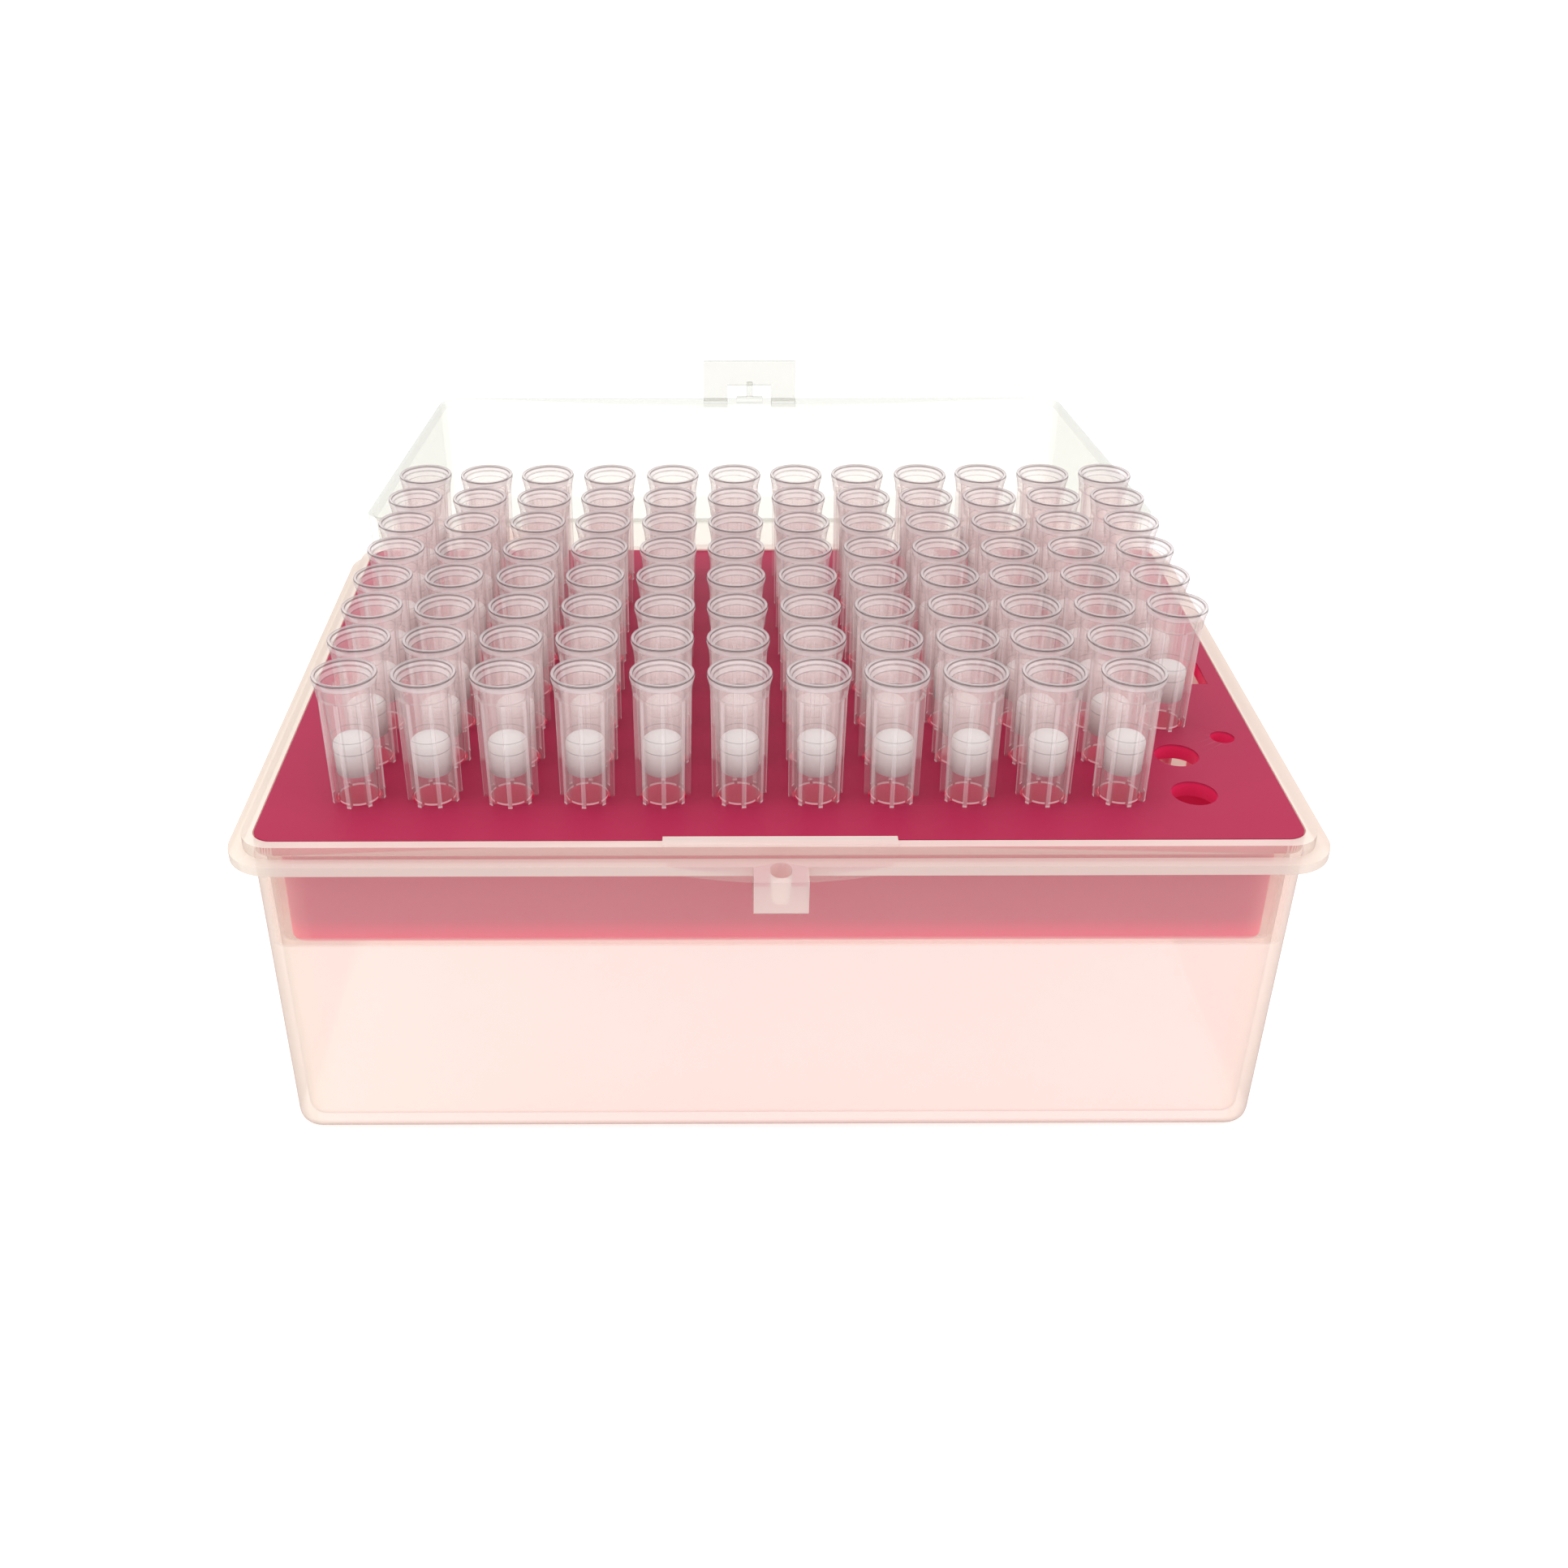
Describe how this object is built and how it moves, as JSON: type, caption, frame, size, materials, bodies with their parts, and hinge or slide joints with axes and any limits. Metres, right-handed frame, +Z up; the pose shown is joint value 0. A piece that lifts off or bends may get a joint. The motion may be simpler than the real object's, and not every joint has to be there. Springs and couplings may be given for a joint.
{
  "type": "box of pipette tips",
  "caption": "Hinged clear-lidded laboratory box holding a rack of ribbed filter pipette tips in a rectangular grid, with its lid folded back.",
  "frame": {"origin": "centre of the tray's flat underside, on the plane it stands on", "axes": "+Z up, -Y towards the latch at the front, +Y towards the hinge, +X to the right as seen from the latch side"},
  "size_m": [0.1266, 0.1911, 0.06],
  "materials": {
    "natural_polypropylene": "translucent, satin",
    "crimson_polypropylene": "satin",
    "clear_polypropylene": "clear, glossy",
    "tip_polypropylene": "clear, glossy",
    "porous_polyethylene": "porous, matte"
  },
  "bodies": {
    "tray": {"base_box": "natural_polypropylene", "tip_rack": "crimson_polypropylene", "tips_column_01": "tip_polypropylene", "tips_column_02": "tip_polypropylene", "tips_column_03": "tip_polypropylene", "tips_column_04": "tip_polypropylene", "tips_column_05": "tip_polypropylene", "tips_column_06": "tip_polypropylene", "tips_column_07": "tip_polypropylene", "tips_column_08": "tip_polypropylene", "tips_column_09": "tip_polypropylene", "tips_column_10": "tip_polypropylene", "tips_column_11": "tip_polypropylene", "tips_column_12": "tip_polypropylene", "filters_column_01": "porous_polyethylene", "filters_column_02": "porous_polyethylene", "filters_column_03": "porous_polyethylene", "filters_column_04": "porous_polyethylene", "filters_column_05": "porous_polyethylene", "filters_column_06": "porous_polyethylene", "filters_column_07": "porous_polyethylene", "filters_column_08": "porous_polyethylene", "filters_column_09": "porous_polyethylene", "filters_column_10": "porous_polyethylene", "filters_column_11": "porous_polyethylene", "filters_column_12": "porous_polyethylene"},
    "cover": {"lid": "clear_polypropylene"}
  },
  "joints": [
    {"name": "lid_hinge", "type": "hinge", "parent": "tray", "child": "cover", "pos_m": [0, 0.0469, 0.044], "axis": [1, 0, 0], "range_deg": [0, 186]}
  ]
}
